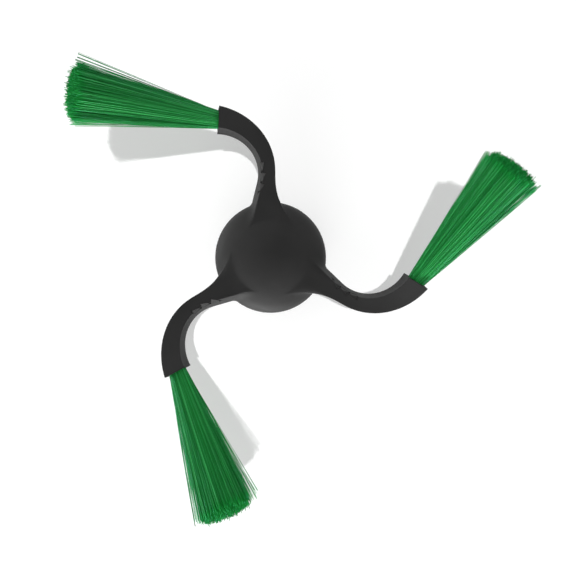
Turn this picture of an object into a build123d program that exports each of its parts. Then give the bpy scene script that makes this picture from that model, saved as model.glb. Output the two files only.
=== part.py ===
"""Side brush of a robot vacuum cleaner: a moulded three-armed hub with a bristle tuft in each arm.

Frame: the drive axis is Z, the hub's rim stands on z = 0, the dome and the tufts are up,
and +X runs along the root of the first arm. Millimetres and degrees.
"""

import os
from math import atan2, cos, degrees, hypot, radians, sin, sqrt, tan

from build123d import *

# Hub: a hollow domed cap
hub_radius = 20.4
skirt_height = 13.0
dome_rise = 10.5
crown_rise = 3.5
hub_wall = 2.0
rib_count = 3
rib_thickness = 1.6
rib_above_rim = 3.0

# Drive socket: a round bore with keyways, in a boss under the dome
socket_radius = 4.0
socket_depth = 16.0
socket_wall = 2.0
key_count = 3
key_width = 1.6
key_depth = 1.1

# Arms: a root that runs out from the hub, then a bend to the left. The outer wall is upright and
# flares out at the root. The inner wall leans, less and less towards the arm's end
arm_count = 3
arm_below_crown = 2.8
arm_depth = 6.2
arm_start = 6.0
arm_end_heading = 87.7
outer_offset = 2.25
outer_bend_beyond_hub = 10.6
outer_bend_radius = 21.1
flare_beyond_hub = 7.1
flare_radius = 24.6
flare_foot_radius = 17.0
flare_run = 16.5
inner_offset = 2.17
inner_bend_beyond_hub = 9.05
inner_bend_radius = 14.98
inner_root_angle = 15.0
inner_lean = 17.2
inner_end_lean = 4.2
bend_spare = 12.0
mouth_climb = 12.0
seam_blend = 3.0
blend_per_wall = 1.9

# Climb of the arms: level at the hub, then curved up along one heading
climb_heading = 75.0
climb_start = 3.6
climb_radius = 75.8
climb_spare = 40.0

# Saw-tooth cuts in the inner top edge of each arm, placed round the inner bend
tooth_count = 3
tooth_first_angle = -14.0
tooth_pitch = 14.5
tooth_run = 4.0
tooth_rise = 0.8
tooth_bite = 1.2
tooth_back = 0.7
tooth_reach = 1.4
tooth_drop = 2.0

# Bristle tufts: a bonded root plug in the arm's end, and strands that fan out from it
tuft_climb = 21.0
tuft_length = 46.8
tuft_root_width = 6.4
tuft_root_depth = 4.2
tuft_tip_width = 18.2
tuft_tip_depth = 11.5
plug_depth = 3.0
plug_corner = 1.3
bond_gap = 0.05
tuft_lean = 2.7
strand_rows = 6
strand_thickness = 0.5
strand_pitch = 0.61

# Lengths worked out from the sizes above
hub_height = skirt_height + dome_rise
shoulder_radius = dome_rise - crown_rise
shoulder_place = hub_radius - shoulder_radius
crown_radius = (shoulder_place**2 + dome_rise**2 - shoulder_radius**2) / (2 * crown_rise)
crown_base = hub_height - crown_radius
shoulder_sweep = degrees(atan2(skirt_height - crown_base, shoulder_place))
crown_sweep = 90 - shoulder_sweep
arm_top_height = hub_height - arm_below_crown
seam_wall = arm_top_height - skirt_height - shoulder_radius * sin(radians(shoulder_sweep))
seam_radius = min(seam_blend, blend_per_wall * seam_wall)
outer_bend_place = hub_radius + outer_bend_beyond_hub
flare_place = hub_radius + flare_beyond_hub
flare_start = flare_place - flare_run
inner_bend_place = hub_radius + inner_bend_beyond_hub
arm_reach = outer_bend_place + outer_bend_radius + hub_radius
outer_centre = Vector(outer_bend_place, outer_bend_radius - outer_offset)
inner_centre = Vector(inner_bend_place, inner_bend_radius + inner_offset)
wall_top = arm_top_height + 2 * arm_depth
arm_spacing = 360 / arm_count


def hub_section(inset, domed):
    """Half section of the hub, brought in by inset, on a plane midway between two arms.

    The dome's crown is an arc about the drive axis that runs smoothly into the shoulder's arc.
    The hollow under it has a straight slope in place of each arc.
    """
    with BuildSketch(Plane.XZ.rotated((0, 0, arm_spacing / 2))) as half:
        with BuildLine():
            mode = Mode.ADD if domed else Mode.PRIVATE
            foot = Line((0, 0), (hub_radius - inset, 0))
            Line(foot @ 1, (hub_radius - inset, skirt_height))
            shoulder_middle = (shoulder_place, skirt_height)
            shoulder = CenterArc(shoulder_middle, shoulder_radius - inset, 0, shoulder_sweep, mode=mode)
            crown = CenterArc((0, crown_base), crown_radius - inset, shoulder_sweep, crown_sweep, mode=mode)
            if not domed:
                Polyline(shoulder @ 0, shoulder @ 1, crown @ 1)
            Line(crown @ 1, foot @ 0)
        make_face()
    return half.sketch


def behind_inner_wall(height):
    """Section, at a height, of all that lies on the outer side of an arm's inner wall."""
    lift = height - arm_top_height
    shift = lift * (tan(radians(inner_end_lean)) - tan(radians(inner_lean)))
    radius = inner_bend_radius + lift * tan(radians(inner_lean))
    turn = inner_root_angle + arm_end_heading + bend_spare
    with BuildSketch(Plane.XY.offset(height)) as section:
        with BuildLine():
            bend = CenterArc(inner_centre + Vector(shift, 0), radius, -90 - inner_root_angle, turn)
            root = Line(bend @ 0, bend @ 0 - (bend % 0) * arm_reach)
            corner = (-arm_reach, -arm_reach)
            Polyline(root @ 1, corner, (arm_reach, -arm_reach), (arm_reach, (bend @ 1).Y), bend @ 1)
        make_face()
    return section.sketch


def flare_section(height, radius):
    """Section, at a height, of the web that widens an arm's root on its outer side."""
    drop = radius - sqrt(radius**2 - flare_run**2)
    with BuildSketch(Plane.XY.offset(height)) as section:
        with BuildLine():
            start = (flare_place, -outer_offset)
            end = (flare_start, -outer_offset - drop)
            web = TangentArc(start, end, tangent=(-1, 0))
            Polyline(web @ 1, (flare_start, 0), (flare_place, 0), web @ 0)
        make_face()
    return section.sketch


def strand_places(row_width):
    """Places of the strands in a unit circle, in rows that stand for row_width at their longest."""
    places = []
    for row in range(strand_rows):
        level = (2 * row + 1) / strand_rows - 1
        reach = sqrt(1 - level**2)
        gaps = round(reach * row_width / strand_pitch)
        for column in range(gaps + 1):
            places.append((reach * (2 * column / gaps - 1), level))
    return places


def on_inner_seam(edge):
    """True for an edge where the inner wall of an arm rises from the dome."""
    start, middle, end = edge @ 0, edge @ 0.5, edge @ 1
    on_hub = max(hypot(start.X, start.Y), hypot(end.X, end.Y)) < hub_radius + seam_blend
    upright = edge.bounding_box().size.Z > seam_blend / 2
    turn = degrees(atan2(middle.Y, middle.X)) % arm_spacing
    return on_hub and upright and turn < arm_spacing / 2


hub_outside = hub_section(0, domed=True)
hub_trim = hub_section(hub_wall / 2, domed=True)
hub_inside = hub_section(hub_wall, domed=False)
wall_sections = [behind_inner_wall(0), behind_inner_wall(wall_top)]
flare_sections = [
    flare_section(arm_top_height - arm_depth, flare_foot_radius),
    flare_section(arm_top_height, flare_radius),
]

# Upright plane along the climb, and the middle of the arm's end face, where the tuft comes out
uphill = Vector(cos(radians(climb_heading)), sin(radians(climb_heading)))
climb_side = Plane(origin=(0, 0, 0), x_dir=uphill, z_dir=(uphill.Y, -uphill.X, 0))
forward = Vector(cos(radians(arm_end_heading)), sin(radians(arm_end_heading)))
across = Vector(-forward.Y, forward.X)
end_plan = (outer_centre + inner_centre - across * (outer_bend_radius + inner_bend_radius)) / 2
end_climb = end_plan.dot(uphill) - climb_start
end_drop = sqrt((climb_radius + arm_depth / 2) ** 2 - end_climb**2)
mouth = Plane(
    origin=(end_plan.X, end_plan.Y, arm_top_height + climb_radius - end_drop),
    x_dir=across,
    z_dir=forward * cos(radians(mouth_climb)) + Vector(0, 0, sin(radians(mouth_climb))),
)


def plug_section(inset):
    """Section of a tuft's root plug at the arm's mouth, brought in by inset: an oblong with cut corners."""
    with BuildSketch(mouth) as section:
        oblong = Rectangle(tuft_root_width - 2 * inset, tuft_root_depth - 2 * inset)
        chamfer(oblong.vertices(), plug_corner)
    return section.sketch


# One arm, with the pocket for its tuft
with BuildPart() as arm:
    with BuildSketch():
        with BuildLine():
            bend = CenterArc(outer_centre, outer_bend_radius, -90, arm_end_heading + bend_spare)
            root = Line(bend @ 0, (arm_start, -outer_offset))
            Polyline(root @ 1, (arm_start, arm_reach), ((bend @ 1).X, arm_reach), bend @ 1)
        make_face()
    extrude(amount=wall_top)
    loft(wall_sections, ruled=True, mode=Mode.INTERSECT)
    with BuildSketch(climb_side):
        with BuildLine():
            climb_middle = (climb_start, arm_top_height + climb_radius)
            top = CenterArc(climb_middle, climb_radius, -90, climb_spare)
            under = CenterArc(climb_middle, climb_radius + arm_depth, -90, climb_spare)
            Line(top @ 1, under @ 1)
            Polyline(
                top @ 0,
                (-arm_reach, arm_top_height),
                (-arm_reach, arm_top_height - arm_depth),
                under @ 0,
            )
        make_face()
    extrude(amount=2 * arm_reach, both=True, mode=Mode.INTERSECT)
    split(bisect_by=mouth, keep=Keep.BOTTOM)
    loft(flare_sections, ruled=True)
    extrude(plug_section(0), amount=-plug_depth, mode=Mode.SUBTRACT)

# What the tooth cuts take out of one arm
with BuildPart() as tooth_cuts:
    for tooth in range(tooth_count):
        turn = tooth_first_angle + tooth * tooth_pitch
        edge = inner_centre + Vector(sin(radians(turn)), -cos(radians(turn))) * inner_bend_radius
        with BuildSketch(Plane(origin=(edge.X, edge.Y, arm_top_height - tooth_drop)).rotated((0, 0, turn))):
            Polygon(
                (-tooth_run, tooth_rise),
                (0, -tooth_bite),
                (tooth_back, tooth_reach),
                align=None,
            )
        extrude(amount=arm_depth)

# Boss and ribs, trimmed to end inside the dome's wall
boss_radius = socket_radius + key_depth + socket_wall
with BuildPart() as hub_core:
    with BuildSketch():
        Circle(boss_radius)
    extrude(amount=hub_height)
    with BuildSketch(Plane.XY.offset(rib_above_rim)):
        with PolarLocations(0, rib_count):
            Rectangle(hub_radius, rib_thickness, align=(Align.MIN, Align.CENTER))
    extrude(amount=hub_height)
    revolve(hub_trim, axis=Axis.Z, mode=Mode.INTERSECT)

# Moulded body: the domed hub and its three arms in one piece
with BuildPart() as brush_body:
    revolve(hub_outside, axis=Axis.Z)
    with PolarLocations(0, arm_count):
        add(arm.part)
    seams = [edge for edge in edges() if on_inner_seam(edge)]
    fillet(seams, seam_radius)
    with PolarLocations(0, arm_count):
        add(tooth_cuts.part, mode=Mode.SUBTRACT)
    revolve(hub_inside, axis=Axis.Z, mode=Mode.SUBTRACT)
    add(hub_core.part)
    with BuildSketch():
        Circle(socket_radius)
        with PolarLocations(0, key_count):
            Rectangle(socket_radius + key_depth, key_width, align=(Align.MIN, Align.CENTER))
    extrude(amount=socket_depth, mode=Mode.SUBTRACT)

# One tuft, in the end of the first arm
root_half_width = tuft_root_width / 2 - strand_thickness
root_half_depth = tuft_root_depth / 2 - strand_thickness
width_gain = (tuft_tip_width - strand_thickness) / 2 - root_half_width
depth_gain = (tuft_tip_depth - strand_thickness) / 2 - root_half_depth
outward = tuft_length * tan(radians(tuft_lean))
upward = tuft_length * tan(radians(tuft_climb - mouth_climb))
strands = []
for side, up in strand_places(2 * root_half_width):
    drift = Vector(side * width_gain - outward, up * depth_gain + upward, tuft_length)
    with BuildSketch(mouth) as strand_root:
        with Locations((side * root_half_width, up * root_half_depth)):
            Rectangle(strand_thickness, strand_thickness)
    heading = mouth.from_local_coords(drift) - mouth.origin
    strands.append(extrude(strand_root.sketch, amount=tuft_length, dir=heading, mode=Mode.PRIVATE))
with BuildPart() as tuft:
    extrude(plug_section(bond_gap), amount=bond_gap - plug_depth)
    add(strands)

os.makedirs("parts", exist_ok=True)
brush_body.part.label = "brush_body"
export_step(brush_body.part, "parts/brush_body.step")
for number in range(arm_count):
    with BuildPart() as placed_tuft:
        add(tuft.part, rotation=(0, 0, number * arm_spacing))
    name = f"bristle_tuft_{number + 1}"
    placed_tuft.part.label = name
    export_step(placed_tuft.part, f"parts/{name}.step")
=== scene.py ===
"""Studio picture of a robot vacuum side brush.

A dark moulded hub has three swept arms, with a green bristle tuft in the end of each.
"""

import math
import random

import bpy
from mathutils import Matrix, Vector


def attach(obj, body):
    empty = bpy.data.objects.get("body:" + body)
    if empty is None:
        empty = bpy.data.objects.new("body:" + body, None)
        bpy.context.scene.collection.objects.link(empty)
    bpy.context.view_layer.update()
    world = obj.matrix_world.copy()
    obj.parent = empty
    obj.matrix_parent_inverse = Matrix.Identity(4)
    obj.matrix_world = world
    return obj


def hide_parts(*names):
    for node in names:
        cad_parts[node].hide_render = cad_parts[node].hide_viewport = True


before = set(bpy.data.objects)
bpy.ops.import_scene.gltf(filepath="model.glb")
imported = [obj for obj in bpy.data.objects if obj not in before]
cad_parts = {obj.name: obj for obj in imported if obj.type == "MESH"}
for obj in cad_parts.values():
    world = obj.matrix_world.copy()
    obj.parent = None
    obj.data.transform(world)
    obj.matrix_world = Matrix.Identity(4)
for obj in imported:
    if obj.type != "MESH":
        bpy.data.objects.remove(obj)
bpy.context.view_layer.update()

MM = 0.001

# The first arm and its tuft's root, with the same sizes as the solid model
ARM_COUNT = 3
ARM_TOP_HEIGHT = 20.7 * MM
ARM_DEPTH = 6.2 * MM
ARM_END_HEADING = math.radians(87.7)
OUTER_CENTRE = Vector((31.0, 18.85, 0)) * MM
OUTER_RADIUS = 21.1 * MM
INNER_CENTRE = Vector((29.45, 17.15, 0)) * MM
INNER_RADIUS = 14.98 * MM
INNER_LEAN = math.radians(17.2)
INNER_END_LEAN = math.radians(4.2)
CLIMB_HEADING = math.radians(75.0)
CLIMB_START = 3.6 * MM
CLIMB_RADIUS = 75.8 * MM
MOUTH_CLIMB = math.radians(12.0)
TUFT_CLIMB = math.radians(21.0)
TUFT_LEAN = math.radians(2.7)
TUFT_LENGTH = 46.8 * MM
ROOT_WIDTH = 6.4 * MM
ROOT_DEPTH = 4.2 * MM
PLUG_DEPTH = 3.0 * MM
BOND = 0.05 * MM

# Saw-tooth cuts in the arm's inner top edge, with the same sizes as the solid model
TOOTH_COUNT = 3
TOOTH_FIRST_ANGLE = math.radians(-14.0)
TOOTH_PITCH = math.radians(14.5)
TOOTH_RUN = 4.0 * MM
TOOTH_RISE = 0.8 * MM
TOOTH_BITE = 1.2 * MM
TOOTH_BACK = 0.7 * MM
TOOTH_REACH = 1.4 * MM
TOOTH_DROP = 2.0 * MM

# The slope in each cut: it sinks into the cut's floor and stays just behind the wall
SLOPE_LEAN = math.radians(45.0)
SLOPE_RUN = 2.55 * MM
SLOPE_SINK = 0.3 * MM
SLOPE_INSET = 0.04 * MM
SLOPE_CUTS = 4

# Dense strands of a tuft
STRAND_COUNT = 1200
STRAND_SIDES = 5
STRAND_CUTS = 4
STRAND_THICKNESS = 0.2 * MM
STRAND_SINK = 2.0 * MM
THICKNESS_RANGE = (0.85, 1.15)
TIP_WIDTH = 15.8 * MM
TIP_DEPTH = 10.5 * MM
GOLDEN_ANGLE = math.radians(137.508)
END_SCATTER = 0.22 * MM
CUT_SCATTER = 0.35 * MM
END_SLANT = 2.6 * MM
CUT_BACK = 0.5 * MM
BOW = 0.5 * MM
SEED_BASE = 700
SMOOTH_ANGLE = math.radians(75)
PLUG_SIDES = 32
PLUG_TONE = 0.3

# Thin strands beside the dense ones, with their places in half widths of the dense part
FRINGE_COUNT = 150
FRINGE_THICKNESS = 0.11 * MM
FRINGE_ROOT = (0.8, 0.98)
FRINGE_START = 0.94
FRINGE_SPREAD = 0.32
FRINGE_CROWDING = 1.3
FRINGE_HEIGHT = 0.5
FRINGE_CUT_SCATTER = 2 * CUT_SCATTER
STRAY_ROOT = 0.95
STRAY_ROOT_HEIGHT = 0.7
STRAY_SPREAD = 0.02

# Strays of each tuft, in bundles: the tips' place across and up, their reach in tuft lengths, and
# how many there are
TUFT_STRAYS = (
    ((-1.28, 0.1, 1.0, 4), (-1.33, -0.2, 0.99, 2), (1.22, 0.1, 0.97, 3)),
    ((-1.58, 0.2, 0.98, 5), (-1.44, 0.1, 0.98, 6), (-1.35, 0.0, 0.99, 6), (1.3, -0.1, 0.97, 3)),
    (
        (1.42, 0.2, 0.98, 4),
        (1.5, 0.0, 0.97, 3),
        (-1.38, 0.1, 0.99, 5),
        (-1.45, -0.2, 0.97, 3),
        (1.34, -0.3, 0.96, 4),
    ),
)

# Moulding: a faint cloud of two tones, a fine grain, and edges that are soft on the dome and crisp
# on the arms
MOULDING_DARK = (0.0240, 0.0239, 0.0239)
MOULDING_LIGHT = (0.0278, 0.0276, 0.0276)
MOULDING_ROUGHNESS = 0.55
MOULDING_SHINE = 0.1
CLOUD_SCALE = 90
CLOUD_DETAIL = 4
CLOUD_STOPS = (0.3, 0.7)
GRAIN_SCALE = 2200
GRAIN_DETAIL = 3
GRAIN_STRENGTH = 0.12
GRAIN_HEIGHT = 0.05 * MM
DOME_REACH = 17 * MM
ARM_REACH = 24 * MM
DOME_SOFTNESS = 4.0 * MM
ARM_SOFTNESS = 0.25 * MM
EDGE_SAMPLES = 6

# Filament: stops of the tone over the strands, and of painted shade along each strand
STRAND_TONES = (
    (0.0, (0.0068, 0.135, 0.024)),
    (0.6, (0.0135, 0.208, 0.040)),
    (1.0, (0.034, 0.345, 0.083)),
)
# Painted shadow darkens the root, and painted shade makes the cut ends at the tip darker and greener
PAINTED_STRAND_SHADE = (
    (0.0, (0.35, 0.35, 0.35)),
    (0.07, (1, 1, 1)),
    (0.95, (1, 1, 1)),
    (0.98, (0.5, 0.95, 0.7)),
)
STRAND_ROUGHNESS = 0.5
STRAND_SHINE = 0.06
STRAND_GLOW = 0.6
STRAND_GLOW_DEPTH = 0.4 * MM

# Floor, and how far it is lifted to white where it is seen
FLOOR_SIZE = 6
FLOOR_DARK = (0.80, 0.80, 0.80)
FLOOR_LIGHT = (0.82, 0.82, 0.82)
FLOOR_ROUGHNESS = 0.9
FLOOR_CLOUD_SCALE = 6
FLOOR_CLOUD_DETAIL = 2
FLOOR_LIFT = 0.225

# Light: a soft sky that is bright at the sides, a sun from above and two low lamps. Each lamp has
# its angle round the picture in degrees and its energy.
SIDE_LIGHT = 1.3
TOP_LIGHT = 0.12
SIDE_SKY = 0.1
TOP_SKY = 0.75
SUN_ROUND = 90
SUN_RISE = 86
SUN_ENERGY = 1.75
SUN_ANGLE = math.radians(1.5)
LOW_LAMPS = (("key", 258, 11.0), ("fill", 168, 4.2))
LOW_RISE = 3.2
LOW_DISTANCE = 0.75
LOW_WIDTH = 0.6
LOW_HEIGHT = 0.08

# Picture: the camera stands on the drive axis and looks straight down
CAMERA_HEIGHT = 166 * MM
CAMERA_TURN = math.radians(28.87)
CAMERA_NEAR = 5 * MM
LENS = 25.9
SHIFT_RIGHT = 0.0302
SHIFT_UP = -0.053


def leave_edit_mode():
    """Object mode with nothing selected."""
    if bpy.context.object and bpy.context.object.mode != "OBJECT":
        bpy.ops.object.mode_set(mode="OBJECT")
    bpy.ops.object.select_all(action="DESELECT")


def cut_along(piece, axis, cuts):
    """Rings round a fresh unit shape, made by cutting its edges that run along one axis."""
    mesh = piece.data
    bpy.ops.object.mode_set(mode="EDIT")
    bpy.ops.mesh.select_mode(type="EDGE")
    bpy.ops.mesh.select_all(action="DESELECT")
    bpy.ops.object.mode_set(mode="OBJECT")
    for edge in mesh.edges:
        near, far = (mesh.vertices[index].co[axis] for index in edge.vertices)
        edge.select = abs(far - near) > 0.5
    bpy.ops.object.mode_set(mode="EDIT")
    bpy.ops.mesh.subdivide(number_cuts=cuts)
    leave_edit_mode()


def round_hub(arm):
    """Turn from the first arm to another, which are counted from 0."""
    return Matrix.Rotation(arm * 2 * math.pi / ARM_COUNT, 4, "Z")


def arm_mouth():
    """Frame at the middle of the first arm's end face: x to the inner side, y up, z out of the face."""
    level = Vector((math.cos(ARM_END_HEADING), math.sin(ARM_END_HEADING), 0))
    inward = Vector((-level.y, level.x, 0))
    middle = (OUTER_CENTRE + INNER_CENTRE - inward * (OUTER_RADIUS + INNER_RADIUS)) / 2
    uphill = Vector((math.cos(CLIMB_HEADING), math.sin(CLIMB_HEADING), 0))
    climb = middle.dot(uphill) - CLIMB_START
    below_centre = math.sqrt((CLIMB_RADIUS + ARM_DEPTH / 2) ** 2 - climb**2)
    middle.z = ARM_TOP_HEIGHT + CLIMB_RADIUS - below_centre
    along = level * math.cos(MOUTH_CLIMB) + Vector((0, 0, math.sin(MOUTH_CLIMB)))
    turn = Matrix((inward, along.cross(inward), along)).transposed()
    return Matrix.Translation(middle) @ turn.to_4x4()


def arm_rise(place):
    """How far the top of the first arm has climbed at a place in plan."""
    climb = place.x * math.cos(CLIMB_HEADING) + place.y * math.sin(CLIMB_HEADING) - CLIMB_START
    return CLIMB_RADIUS - math.sqrt(CLIMB_RADIUS**2 - climb**2)


def tooth_slope(turn, climb):
    """The slope in a tooth cut, from the cut's long top edge down to the inner wall, closed below.

    The cut is at an angle round the inner bend, where the arm's top has climbed this far. The slope
    lies at the cut's deepest point: x runs with the arm, y to the inner side, z up from the arm's top.
    """
    root_lean, end_lean = math.tan(INNER_LEAN), math.tan(INNER_END_LEAN)
    lean = root_lean + (end_lean - root_lean) * math.sin(turn)
    foot = TOOTH_DROP + climb + SLOPE_SINK
    leave_edit_mode()
    bpy.ops.mesh.primitive_cube_add(size=1)
    slope = bpy.context.object
    cut_along(slope, 0, SLOPE_CUTS)
    for vertex in slope.data.vertices:
        on_wall, on_top = vertex.co.y > 0, vertex.co.z > 0
        along = (vertex.co.x - 0.5) * SLOPE_RUN
        cut = -TOOTH_BITE - along * (TOOTH_RISE + TOOTH_BITE) / TOOTH_RUN
        bend = INNER_RADIUS - math.sqrt(INNER_RADIUS**2 - along**2)
        wall = bend - climb * lean - SLOPE_INSET
        depth = (wall - cut) / (math.tan(SLOPE_LEAN) - lean)
        down = (depth if on_wall else 0) if on_top else foot
        across = wall + down * lean if on_wall else cut
        at_end = along > -SLOPE_INSET
        back = (across + TOOTH_BITE) * TOOTH_BACK / (TOOTH_REACH + TOOTH_BITE) if at_end else 0
        vertex.co = (along + back, across, -down)
    return slope


def strand_blank():
    """One straight bristle of unit length and unit radius, with rings along it."""
    leave_edit_mode()
    bpy.ops.mesh.primitive_cylinder_add(
        vertices=STRAND_SIDES, radius=1, depth=1, location=(0, 0, 0.5)
    )
    blank = bpy.context.object
    blank.name = "strand_blank"
    bpy.ops.object.transform_apply(location=True, rotation=True, scale=True)
    cut_along(blank, 2, STRAND_CUTS)
    return blank


def lay_strand(blank, root, tip, bow, thickness, tone):
    """A bowed copy of the blank from root to tip, with its tone and the place along it in its UVs."""
    mesh = blank.data.copy()
    run = tip - root
    turn = run.to_track_quat("Z", "Y").to_matrix()
    places = [vertex.co.z for vertex in mesh.vertices]
    for vertex, place in zip(mesh.vertices, places):
        ring = turn @ Vector((vertex.co.x, vertex.co.y, 0)) * (thickness / 2)
        vertex.co = root + run * place + bow * (place**2 - place) + ring
    layer = mesh.uv_layers.active or mesh.uv_layers.new()
    for loop in mesh.loops:
        layer.data[loop.index].uv = (tone, places[loop.vertex_index])
    strand = bpy.data.objects.new("strand", mesh)
    bpy.context.collection.objects.link(strand)
    return strand


def root_plug():
    """The bonded root of a tuft, which fills the pocket in the arm's end."""
    leave_edit_mode()
    bpy.ops.mesh.primitive_cylinder_add(
        vertices=PLUG_SIDES, radius=0.5, depth=PLUG_DEPTH, location=(0, 0, -PLUG_DEPTH / 2)
    )
    plug = bpy.context.object
    plug.scale = (ROOT_WIDTH - 2 * BOND, ROOT_DEPTH - 2 * BOND, 1)
    bpy.ops.object.transform_apply(location=True, rotation=True, scale=True)
    # The plug takes the strands' painted root shade, at the start of the shade along them
    layer = plug.data.uv_layers.active
    for loop in plug.data.loops:
        layer.data[loop.index].uv = (PLUG_TONE, 0.0)
    return plug


def make_tuft(number, blank, place, strays):
    """One tuft at an arm's end: dense strands that fan out, a thin fringe at both sides, and strays."""
    draw = random.Random(SEED_BASE + number)
    rise = math.tan(TUFT_CLIMB - MOUTH_CLIMB)
    drift = Vector((-math.tan(TUFT_LEAN), rise, 1)) * TUFT_LENGTH
    scatter = END_SCATTER / (TIP_WIDTH / 2)
    made = [root_plug()]

    def add_strand(across, up, tip_across, tip_up, reach, thickness):
        root_across = across * (ROOT_WIDTH / 2 - STRAND_THICKNESS)
        root_up = up * (ROOT_DEPTH / 2 - STRAND_THICKNESS)
        root = Vector((root_across, root_up, 0))
        tip = drift + Vector((tip_across * TIP_WIDTH / 2, tip_up * TIP_DEPTH / 2, 0))
        heading = (tip - root).normalized()
        tip = root + heading * reach
        bow = Vector((draw.gauss(0, BOW), draw.gauss(0, BOW), 0))
        thickness *= draw.uniform(*THICKNESS_RANGE)
        sunk = root - heading * STRAND_SINK
        made.append(lay_strand(blank, sunk, tip, bow, thickness, draw.random()))

    def cut_length(up):
        return TUFT_LENGTH - CUT_BACK - up * END_SLANT

    for index in range(STRAND_COUNT):
        radius = math.sqrt((index + 0.5) / STRAND_COUNT)
        across = radius * math.cos(index * GOLDEN_ANGLE)
        up = radius * math.sin(index * GOLDEN_ANGLE)
        tip_across, tip_up = across + draw.gauss(0, scatter), up + draw.gauss(0, scatter)
        reach = cut_length(up) + draw.gauss(0, CUT_SCATTER)
        add_strand(across, up, tip_across, tip_up, reach, STRAND_THICKNESS)
    for index in range(FRINGE_COUNT):
        side = 1 if index % 2 else -1
        up = draw.uniform(-FRINGE_HEIGHT, FRINGE_HEIGHT)
        reach = cut_length(up) - abs(draw.gauss(0, FRINGE_CUT_SCATTER))
        tip_across = side * (FRINGE_START + FRINGE_SPREAD * draw.random() ** FRINGE_CROWDING)
        across = side * draw.uniform(*FRINGE_ROOT)
        add_strand(across, up, tip_across, up, reach, FRINGE_THICKNESS)
    for across, up, reach, count in strays:
        root_across, root_up = math.copysign(STRAY_ROOT, across), up * STRAY_ROOT_HEIGHT
        for _ in range(count):
            tip_across = across + draw.gauss(0, STRAY_SPREAD)
            add_strand(root_across, root_up, tip_across, up, reach * TUFT_LENGTH, FRINGE_THICKNESS)

    leave_edit_mode()
    for piece in made:
        piece.select_set(True)
    bpy.context.view_layer.objects.active = made[0]
    bpy.ops.object.join()
    tuft = bpy.context.object
    tuft.name = f"tuft_{number}"
    tuft.data.name = tuft.name
    tuft.data.transform(place)
    bpy.ops.object.shade_smooth_by_angle(angle=SMOOTH_ANGLE)
    return tuft


def new_material(name):
    """A material with only a principled shader in it, and that shader, its nodes and links."""
    material = bpy.data.materials.new(name)
    material.use_nodes = True
    nodes = material.node_tree.nodes
    return material, nodes["Principled BSDF"], nodes, material.node_tree.links


def add_ramp(nodes, stops):
    """A colour ramp with two or more stops in rising order, each a position and a colour."""
    ramp = nodes.new("ShaderNodeValToRGB")
    elements = ramp.color_ramp.elements
    for element, (position, colour) in zip(elements[:], stops):
        element.position = position
        element.color = (*colour, 1)
    for position, colour in stops[2:]:
        elements.new(position).color = (*colour, 1)
    return ramp


def add_noise(nodes, links, place, scale, detail):
    """Noise in the piece's own space."""
    noise = nodes.new("ShaderNodeTexNoise")
    noise.inputs["Scale"].default_value = scale
    noise.inputs["Detail"].default_value = detail
    links.new(place.outputs["Object"], noise.inputs["Vector"])
    return noise


def soft_edges(nodes, links, place):
    """Normals rounded over the edges, widely on the dome and narrowly on the arms."""
    flat = nodes.new("ShaderNodeVectorMath")
    flat.operation = "MULTIPLY"
    flat.inputs[1].default_value = (1, 1, 0)
    links.new(place.outputs["Object"], flat.inputs[0])
    reach = nodes.new("ShaderNodeVectorMath")
    reach.operation = "LENGTH"
    links.new(flat.outputs["Vector"], reach.inputs[0])
    softness = nodes.new("ShaderNodeMapRange")
    softness.inputs["From Min"].default_value = DOME_REACH
    softness.inputs["From Max"].default_value = ARM_REACH
    softness.inputs["To Min"].default_value = DOME_SOFTNESS
    softness.inputs["To Max"].default_value = ARM_SOFTNESS
    links.new(reach.outputs["Value"], softness.inputs["Value"])
    edges = nodes.new("ShaderNodeBevel")
    edges.samples = EDGE_SAMPLES
    links.new(softness.outputs["Result"], edges.inputs["Radius"])
    return edges


def moulding_material():
    """Charcoal plastic with a fine moulded grain and soft edges."""
    material, shader, nodes, links = new_material("charcoal moulding")
    place = nodes.new("ShaderNodeTexCoord")
    grain = add_noise(nodes, links, place, GRAIN_SCALE, GRAIN_DETAIL)
    edges = soft_edges(nodes, links, place)
    bump = nodes.new("ShaderNodeBump")
    bump.inputs["Strength"].default_value = GRAIN_STRENGTH
    bump.inputs["Distance"].default_value = GRAIN_HEIGHT
    links.new(grain.outputs["Fac"], bump.inputs["Height"])
    links.new(edges.outputs["Normal"], bump.inputs["Normal"])
    links.new(bump.outputs["Normal"], shader.inputs["Normal"])
    cloud = add_noise(nodes, links, place, CLOUD_SCALE, CLOUD_DETAIL)
    tone = add_ramp(nodes, tuple(zip(CLOUD_STOPS, (MOULDING_DARK, MOULDING_LIGHT))))
    links.new(cloud.outputs["Fac"], tone.inputs["Fac"])
    links.new(tone.outputs["Color"], shader.inputs["Base Color"])
    shader.inputs["Roughness"].default_value = MOULDING_ROUGHNESS
    shader.inputs["Specular IOR Level"].default_value = MOULDING_SHINE
    return material


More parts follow.
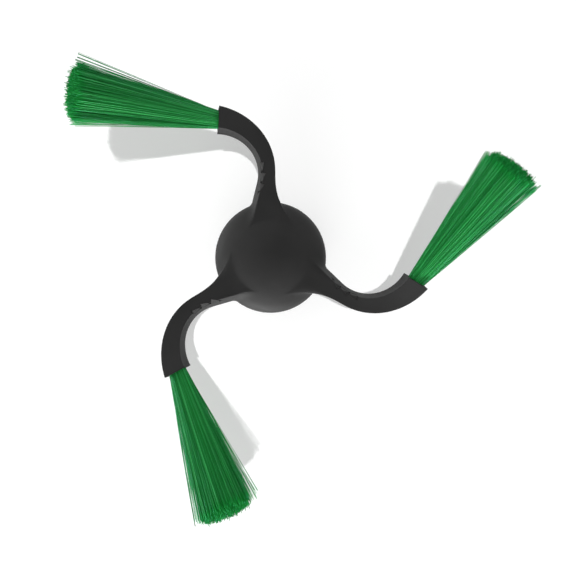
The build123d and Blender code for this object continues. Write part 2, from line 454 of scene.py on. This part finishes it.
def bristle_material():
    """Green nylon filament: each strand has its own tone, and painted shade at the root and tip."""
    material, shader, nodes, links = new_material("green filament")
    place = nodes.new("ShaderNodeUVMap")
    split = nodes.new("ShaderNodeSeparateXYZ")
    links.new(place.outputs["UV"], split.inputs["Vector"])
    tone = add_ramp(nodes, STRAND_TONES)
    links.new(split.outputs["X"], tone.inputs["Fac"])
    # Painted shade along each strand: dark at the root, darker and greener at the cut ends
    painted_shade = add_ramp(nodes, PAINTED_STRAND_SHADE)
    links.new(split.outputs["Y"], painted_shade.inputs["Fac"])
    shade = nodes.new("ShaderNodeMix")
    shade.data_type = "RGBA"
    shade.blend_type = "MULTIPLY"
    shade.inputs["Factor"].default_value = 1
    links.new(tone.outputs["Color"], shade.inputs["A"])
    links.new(painted_shade.outputs["Color"], shade.inputs["B"])
    links.new(shade.outputs["Result"], shader.inputs["Base Color"])
    shader.inputs["Roughness"].default_value = STRAND_ROUGHNESS
    shader.inputs["Specular IOR Level"].default_value = STRAND_SHINE
    shader.inputs["Subsurface Weight"].default_value = STRAND_GLOW
    shader.inputs["Subsurface Radius"].default_value = (1, 1, 1)
    shader.inputs["Subsurface Scale"].default_value = STRAND_GLOW_DEPTH
    return material


def floor_material():
    """White floor that keeps a soft grey shadow. Where it is seen, it is lifted towards white."""
    material, shader, nodes, links = new_material("white floor")
    place = nodes.new("ShaderNodeTexCoord")
    cloud = add_noise(nodes, links, place, FLOOR_CLOUD_SCALE, FLOOR_CLOUD_DETAIL)
    tone = add_ramp(nodes, ((0.0, FLOOR_DARK), (1.0, FLOOR_LIGHT)))
    links.new(cloud.outputs["Fac"], tone.inputs["Fac"])
    links.new(tone.outputs["Color"], shader.inputs["Base Color"])
    shader.inputs["Roughness"].default_value = FLOOR_ROUGHNESS
    shader.inputs["Specular IOR Level"].default_value = 0.0
    shader.inputs["Emission Color"].default_value = (1, 1, 1, 1)
    path = nodes.new("ShaderNodeLightPath")
    direct = nodes.new("ShaderNodeMath")
    direct.operation = "MAXIMUM"
    links.new(path.outputs["Is Camera Ray"], direct.inputs[0])
    links.new(path.outputs["Is Transmission Ray"], direct.inputs[1])
    seen = nodes.new("ShaderNodeMath")
    seen.operation = "MAXIMUM"
    links.new(direct.outputs["Value"], seen.inputs[0])
    links.new(path.outputs["Is Glossy Ray"], seen.inputs[1])
    lift = nodes.new("ShaderNodeMath")
    lift.operation = "MULTIPLY"
    lift.inputs[1].default_value = FLOOR_LIFT
    links.new(seen.outputs["Value"], lift.inputs[0])
    links.new(lift.outputs["Value"], shader.inputs["Emission Strength"])
    return material


def studio_world():
    """Soft light from all round, bright from the sides and dim from above."""
    world = bpy.data.worlds.new("studio")
    world.use_nodes = True
    nodes, links = world.node_tree.nodes, world.node_tree.links
    sky = nodes["Background"]
    sky.inputs["Color"].default_value = (1, 1, 1, 1)
    place = nodes.new("ShaderNodeTexCoord")
    split = nodes.new("ShaderNodeSeparateXYZ")
    links.new(place.outputs["Generated"], split.inputs["Vector"])
    level = nodes.new("ShaderNodeMapRange")
    level.inputs["From Min"].default_value = SIDE_SKY
    level.inputs["From Max"].default_value = TOP_SKY
    level.inputs["To Min"].default_value = SIDE_LIGHT
    level.inputs["To Max"].default_value = TOP_LIGHT
    links.new(split.outputs["Z"], level.inputs["Value"])
    links.new(level.outputs["Result"], sky.inputs["Strength"])
    bpy.context.scene.world = world


def in_picture(degrees_round, degrees_up, distance):
    """A point at an angle round the picture from its right-hand side, and at an angle above the floor."""
    round_axis = math.radians(degrees_round) + CAMERA_TURN
    rise = math.radians(degrees_up)
    level = math.cos(rise) * distance
    height = math.sin(rise) * distance
    return Vector((level * math.cos(round_axis), level * math.sin(round_axis), height))


def add_lamp(name, kind, place, energy):
    """A lamp that points at the drive axis where it meets the floor."""
    lamp = bpy.data.lights.new(name, kind)
    lamp.energy = energy
    holder = bpy.data.objects.new(name, lamp)
    bpy.context.collection.objects.link(holder)
    holder.location = place
    holder.rotation_euler = (-place).to_track_quat("-Z", "Y").to_euler()
    return holder


# Bristles
blank = strand_blank()
bristles = bristle_material()
first_mouth = arm_mouth()
for number, strays in enumerate(TUFT_STRAYS, start=1):
    tuft = make_tuft(number, blank, round_hub(number - 1) @ first_mouth, strays)
    tuft.data.materials.clear()
    tuft.data.materials.append(bristles)
    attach(tuft, "root")
    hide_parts(f"bristle_tuft_{number}")
bpy.data.objects.remove(blank)

# Moulding, with a slope in each of its tooth cuts
moulding = moulding_material()
body = bpy.data.objects["brush_body"]
for slot in body.material_slots:
    slot.material = moulding
for tooth in range(TOOTH_COUNT):
    turn = TOOTH_FIRST_ANGLE + tooth * TOOTH_PITCH
    edge = INNER_CENTRE + Vector((math.sin(turn), -math.cos(turn), 0)) * INNER_RADIUS
    climb = arm_rise(edge)
    edge.z = ARM_TOP_HEIGHT + climb
    first_slope = tooth_slope(turn, climb)
    for arm in range(ARM_COUNT):
        slope = bpy.data.objects.new(f"tooth_slope_{arm + 1}_{tooth + 1}", first_slope.data.copy())
        bpy.context.collection.objects.link(slope)
        place = round_hub(arm) @ Matrix.Translation(edge) @ Matrix.Rotation(turn, 4, "Z")
        slope.data.transform(place)
        slope.data.materials.append(moulding)
        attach(slope, "root")
    bpy.data.objects.remove(first_slope)

# Floor and light
leave_edit_mode()
bpy.ops.mesh.primitive_plane_add(size=FLOOR_SIZE)
floor = bpy.context.object
floor.name = "floor"
floor.data.materials.append(floor_material())
studio_world()
overhead = add_lamp("overhead", "SUN", in_picture(SUN_ROUND, SUN_RISE, 1.0), SUN_ENERGY)
overhead.data.angle = SUN_ANGLE
overhead.visible_glossy = False
for name, degrees_round, energy in LOW_LAMPS:
    lamp = add_lamp(name, "AREA", in_picture(degrees_round, LOW_RISE, LOW_DISTANCE), energy)
    lamp.data.shape = "RECTANGLE"
    lamp.data.size = LOW_WIDTH
    lamp.data.size_y = LOW_HEIGHT

# Camera
camera = bpy.data.cameras.new("camera")
camera.lens = LENS
camera.shift_x = SHIFT_RIGHT
camera.shift_y = SHIFT_UP
camera.clip_start = CAMERA_NEAR
holder = bpy.data.objects.new("camera", camera)
bpy.context.collection.objects.link(holder)
holder.location = (0, 0, CAMERA_HEIGHT)
holder.rotation_euler = (0, 0, CAMERA_TURN)
scene = bpy.context.scene
scene.camera = holder
scene.view_settings.view_transform = "Standard"
